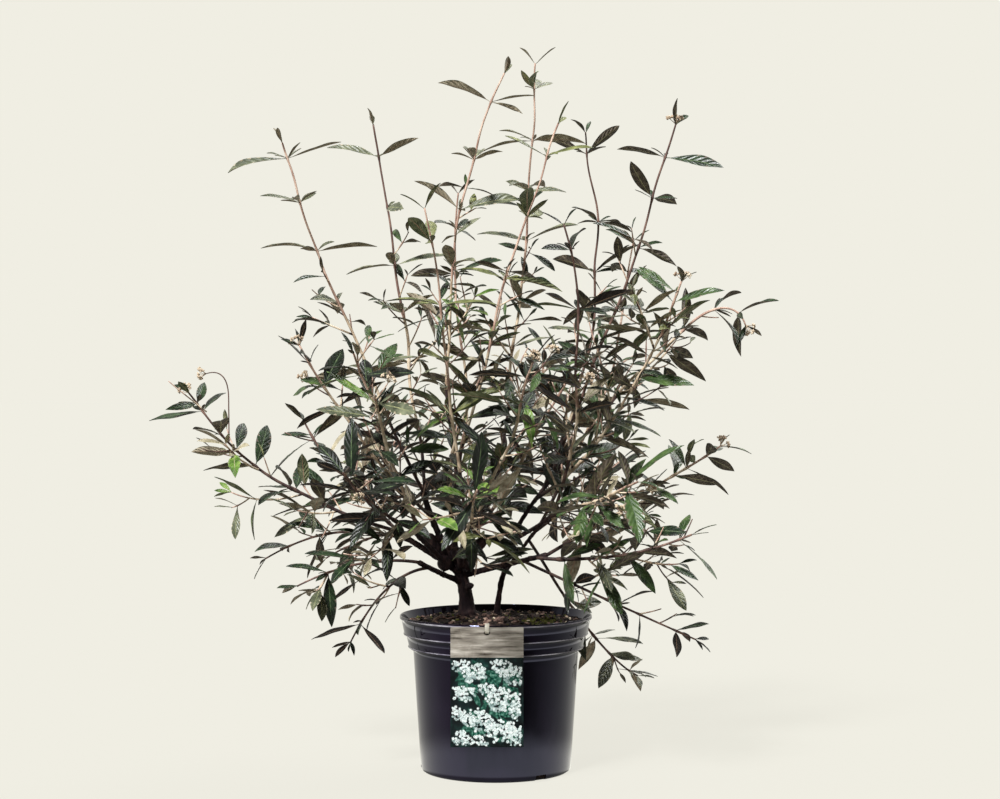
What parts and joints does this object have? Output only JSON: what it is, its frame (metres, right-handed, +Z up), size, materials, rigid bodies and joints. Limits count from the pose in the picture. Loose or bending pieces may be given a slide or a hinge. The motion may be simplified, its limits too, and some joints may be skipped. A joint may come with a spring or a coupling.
{
  "type": "potted shrub",
  "caption": "Evergreen prague viburnum shrub with long leathery leaves and upright shoots, growing in a black plastic nursery pot with a hanging plant label",
  "frame": {"origin": "centre of the pot's flat underside, on the surface that it stands on", "axes": "+Z up; +X to the right and -Y towards the viewer when the label faces the viewer"},
  "size_m": [0.8817, 0.7074, 1.0742],
  "materials": {
    "pot": "glossy blow-moulded black",
    "compost": "rough, damp, crumbly",
    "label": "printed card, satin",
    "strip": "satin, cream",
    "bark": "rough, dark purple-brown",
    "foliage": "leathery, glossy above and felted below"
  },
  "bodies": {
    "root": {"bough_back": "bark", "bough_back_left": "bark", "bough_centre": "bark", "bough_centre_right": "bark", "bough_front": "bark", "bough_front_left": "bark", "bough_left": "bark", "bough_left_low": "bark", "bough_left_rising": "bark", "bough_right": "bark", "bough_right_back": "bark", "bough_right_front": "bark", "bough_right_low": "bark", "compost": "compost", "foliage_back": "foliage", "foliage_back_left": "foliage", "foliage_back_left_low": "foliage", "foliage_back_right": "foliage", "foliage_back_upper": "foliage", "foliage_centre": "foliage", "foliage_centre_right": "foliage", "foliage_front": "foliage", "foliage_front_left": "foliage", "foliage_front_left_upper": "foliage", "foliage_front_right": "foliage", "foliage_front_upper": "foliage", "foliage_left_buds": "foliage", "foliage_left_drooping": "foliage", "foliage_left_far": "foliage", "foliage_left_hanging": "foliage", "foliage_left_low": "foliage", "foliage_left_mid": "foliage", "foliage_right_hanging": "foliage", "foliage_right_low": "foliage", "foliage_right_mid": "foliage", "foliage_right_straight": "foliage", "foliage_right_upper": "foliage", "label": "label", "label_strip": "strip", "pot": "pot", "shoot_back_right_upright": "foliage", "shoot_back_upright": "foliage", "shoot_crossing": "foliage", "shoot_front_right_upright": "foliage", "shoot_front_upright": "foliage", "shoot_leader": "foliage", "shoot_right_arching": "foliage", "shoot_top_centre": "foliage", "shoot_top_left": "foliage", "shoot_top_left_inner": "foliage", "shoot_top_right": "foliage", "shoot_top_right_inner": "foliage", "stem_second": "bark", "trunk": "bark"}
  },
  "joints": []
}
